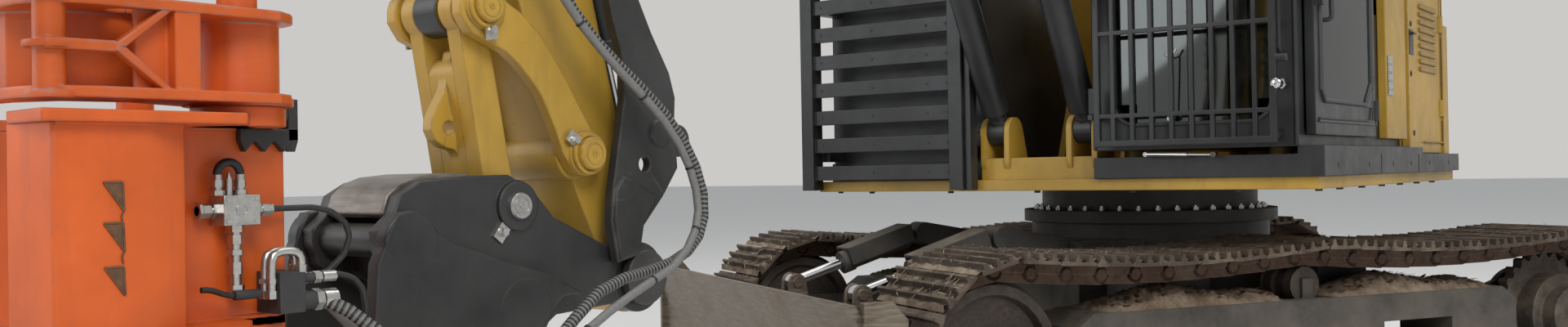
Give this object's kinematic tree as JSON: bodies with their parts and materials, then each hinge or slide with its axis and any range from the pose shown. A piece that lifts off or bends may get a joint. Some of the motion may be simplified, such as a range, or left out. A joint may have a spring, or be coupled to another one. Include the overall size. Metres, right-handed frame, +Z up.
{
  "type": "tracked forestry excavator with felling head",
  "caption": "Tracked forestry excavator with dozer blade, guarded cab, boom, stick, thumb and an upright felling head on a quick coupler.",
  "frame": {"origin": "centre of the bounding box at ground level under the tracks", "axes": "+X ahead of the house along the boom, +Y to its left, +Z up"},
  "size_m": [8.1524, 4.4402, 4.0499],
  "materials": {
    "black_paint": "satin paint, dusty",
    "yellow_paint": "gloss paint, scuffed",
    "dark_paint": "satin paint",
    "track_steel": "worn and rusty",
    "worn_steel": "rubbed brown steel",
    "rod_chrome": "polished",
    "iron": "rough",
    "clear_glass": "tinted",
    "seat_fabric": "woven",
    "orange_paint": "gloss paint, scratched",
    "grey_steel": "matt paint",
    "valve_steel": "machined"
  },
  "bodies": {
    "undercarriage": {"carbody": "black_paint", "track_frames": "black_paint", "track_left": "track_steel", "track_right": "track_steel", "idlers": "track_steel", "sprockets": "track_steel", "final_drives": "track_steel", "rollers": "track_steel"},
    "blade": {"blade": "worn_steel"},
    "blade_barrels": {"blade_barrels": "black_paint"},
    "blade_rods": {"blade_rods": "rod_chrome"},
    "house": {"slew_ring": "black_paint", "house_frame": "yellow_paint", "deck_beams": "black_paint", "counterweight": "yellow_paint", "engine_block": "iron", "engine_hood": "yellow_paint", "right_body": "dark_paint", "slat_guard": "black_paint", "cab_shell": "black_paint", "cab_glass": "clear_glass", "seat": "seat_fabric"},
    "service_door": {"service_door": "yellow_paint"},
    "cab_door": {"cab_door": "black_paint"},
    "mesh_guard": {"mesh_guard": "black_paint"},
    "boom": {"boom": "yellow_paint"},
    "boom_barrels": {"boom_barrels": "black_paint"},
    "boom_rods": {"boom_rods": "rod_chrome"},
    "stick_barrel": {"stick_barrel": "yellow_paint"},
    "stick_rod": {"stick_rod": "rod_chrome"},
    "stick": {"stick": "yellow_paint"},
    "tool_barrel": {"tool_barrel": "yellow_paint"},
    "tool_rod": {"tool_rod": "rod_chrome"},
    "side_links": {"side_links": "yellow_paint"},
    "power_link": {"power_link": "yellow_paint"},
    "coupler": {"coupler": "black_paint", "coupler_nose": "worn_steel", "head_mount": "black_paint", "head_column": "orange_paint", "head_bumper": "grey_steel", "valve_block": "valve_steel", "shear_blade": "worn_steel"},
    "arm_left": {"arm_left": "orange_paint"},
    "arm_right": {"arm_right": "orange_paint"},
    "thumb": {"thumb": "black_paint"},
    "thumb_barrel": {"thumb_barrel": "black_paint"},
    "thumb_rod": {"thumb_rod": "rod_chrome"}
  },
  "joints": [
    {"name": "swing", "type": "hinge", "parent": "undercarriage", "child": "house", "pos_m": [-1.66378, 0.07672, 1.04], "axis": [0, 0, 1], "continuous": true},
    {"name": "boom_lift", "type": "hinge", "parent": "house", "child": "boom", "pos_m": [-1.36378, 0.07672, 1.6], "axis": [0, -1, 0], "range_deg": [-36, 33]},
    {"name": "boom_barrels_pivot", "type": "hinge", "parent": "house", "child": "boom_barrels", "pos_m": [-0.48378, 0.07672, 1.37], "axis": [0, -1, 0], "range_deg": [-41.25, 37.9]},
    {"name": "boom_rods_slide", "type": "slide", "parent": "boom_barrels", "child": "boom_rods", "axis": [0.487, 0, 0.8734], "range_m": [-0.5047, 0.4629]},
    {"name": "stick_swing", "type": "hinge", "parent": "boom", "child": "stick", "pos_m": [3.05622, 0.07672, 3.42], "axis": [0, 1, 0], "range_deg": [-92, 12]},
    {"name": "stick_barrel_pivot", "type": "hinge", "parent": "boom", "child": "stick_barrel", "pos_m": [0.88622, 0.07672, 3.98], "axis": [0, -1, 0], "range_deg": [-1.49, 4.75]},
    {"name": "stick_rod_slide", "type": "slide", "parent": "stick_barrel", "child": "stick_rod", "axis": [0.9986, 0, -0.0525], "range_m": [-0.8993, 0.1208]},
    {"name": "tool_tilt", "type": "hinge", "parent": "stick", "child": "coupler", "pos_m": [2.28701, 0.07672, 0.91964], "axis": [0, -1, 0], "range_deg": [-75, 8]},
    {"name": "tool_barrel_pivot", "type": "hinge", "parent": "stick", "child": "tool_barrel", "pos_m": [3.29342, 0.07672, 3.06873], "axis": [0, -1, 0], "range_deg": [-2.12, 11.51]},
    {"name": "tool_rod_slide", "type": "slide", "parent": "tool_barrel", "child": "tool_rod", "axis": [-0.3187, 0, -0.9478], "range_m": [-0.0669, 0.5939]},
    {"name": "side_link_pivot", "type": "hinge", "parent": "stick", "child": "side_links", "pos_m": [2.47646, 0.07672, 1.25999], "axis": [0, -1, 0], "range_deg": [-87.74, 10.25]},
    {"name": "power_link_pivot", "type": "hinge", "parent": "coupler", "child": "power_link", "pos_m": [2.71663, 0.07672, 1.12919], "axis": [0, -1, 0], "range_deg": [-6.18, 49.54]},
    {"name": "thumb_swing", "type": "hinge", "parent": "stick", "child": "thumb", "pos_m": [2.28701, 0.07672, 0.91964], "axis": [0, -1, 0], "range_deg": [0, 110]},
    {"name": "thumb_barrel_pivot", "type": "hinge", "parent": "stick", "child": "thumb_barrel", "pos_m": [2.57293, 0.07672, 2.63124], "axis": [0, -1, 0], "range_deg": [-8.9, 1]},
    {"name": "thumb_rod_slide", "type": "slide", "parent": "thumb_barrel", "child": "thumb_rod", "axis": [-0.2681, 0, -0.9634], "range_m": [-0.004, 0.679]},
    {"name": "blade_lift", "type": "hinge", "parent": "undercarriage", "child": "blade", "pos_m": [-0.8324, -0.40328, 0.44], "axis": [-0.5, -0.866, 0], "range_deg": [-8, 18]},
    {"name": "blade_barrels_pivot", "type": "hinge", "parent": "undercarriage", "child": "blade_barrels", "pos_m": [-0.66785, -0.49828, 0.88], "axis": [-0.5, -0.866, 0], "range_deg": [-10.11, 21.5]},
    {"name": "blade_rods_slide", "type": "slide", "parent": "blade_barrels", "child": "blade_rods", "axis": [0.8266, -0.4772, -0.2983], "range_m": [-0.1494, 0.0686]},
    {"name": "cab_door_hinge", "type": "hinge", "parent": "house", "child": "cab_door", "pos_m": [-1.39378, 1.27172, 2], "axis": [0, 0, 1], "range_deg": [0, 160]},
    {"name": "mesh_guard_hinge", "type": "hinge", "parent": "house", "child": "mesh_guard", "pos_m": [-0.28178, 0.40272, 2], "axis": [0, 0, -1], "range_deg": [0, 85]},
    {"name": "service_door_hinge", "type": "hinge", "parent": "house", "child": "service_door", "pos_m": [-2.80178, 1.27072, 1.7], "axis": [0, 0, 1], "range_deg": [0, 100]},
    {"name": "arm_left_swing", "type": "hinge", "parent": "coupler", "child": "arm_left", "pos_m": [3.47622, 0.29672, 1.4], "axis": [0, 0, 1], "range_deg": [0, 70]},
    {"name": "arm_right_swing", "type": "hinge", "parent": "coupler", "child": "arm_right", "pos_m": [3.47622, -0.14328, 1.5], "axis": [0, 0, -1], "range_deg": [0, 70]}
  ],
  "couplings": [
    {"joint": "boom_barrels_pivot", "follows": "boom_lift", "ratio": 1.1181},
    {"joint": "boom_rods_slide", "follows": "boom_lift", "m_per_rad": 0.79684},
    {"joint": "stick_barrel_pivot", "follows": "stick_swing", "ratio": -0.04081},
    {"joint": "stick_rod_slide", "follows": "stick_swing", "m_per_rad": 0.5576},
    {"joint": "tool_barrel_pivot", "follows": "tool_tilt", "ratio": -0.14009},
    {"joint": "tool_rod_slide", "follows": "tool_tilt", "m_per_rad": -0.45064},
    {"joint": "side_link_pivot", "follows": "tool_tilt", "ratio": 1.1565},
    {"joint": "power_link_pivot", "follows": "tool_tilt", "ratio": -0.64724},
    {"joint": "thumb_barrel_pivot", "follows": "thumb_swing", "ratio": -0.07183},
    {"joint": "thumb_rod_slide", "follows": "thumb_swing", "m_per_rad": 0.3516},
    {"joint": "blade_barrels_pivot", "follows": "blade_lift", "ratio": 1.1389},
    {"joint": "blade_rods_slide", "follows": "blade_lift", "m_per_rad": -0.46293}
  ]
}
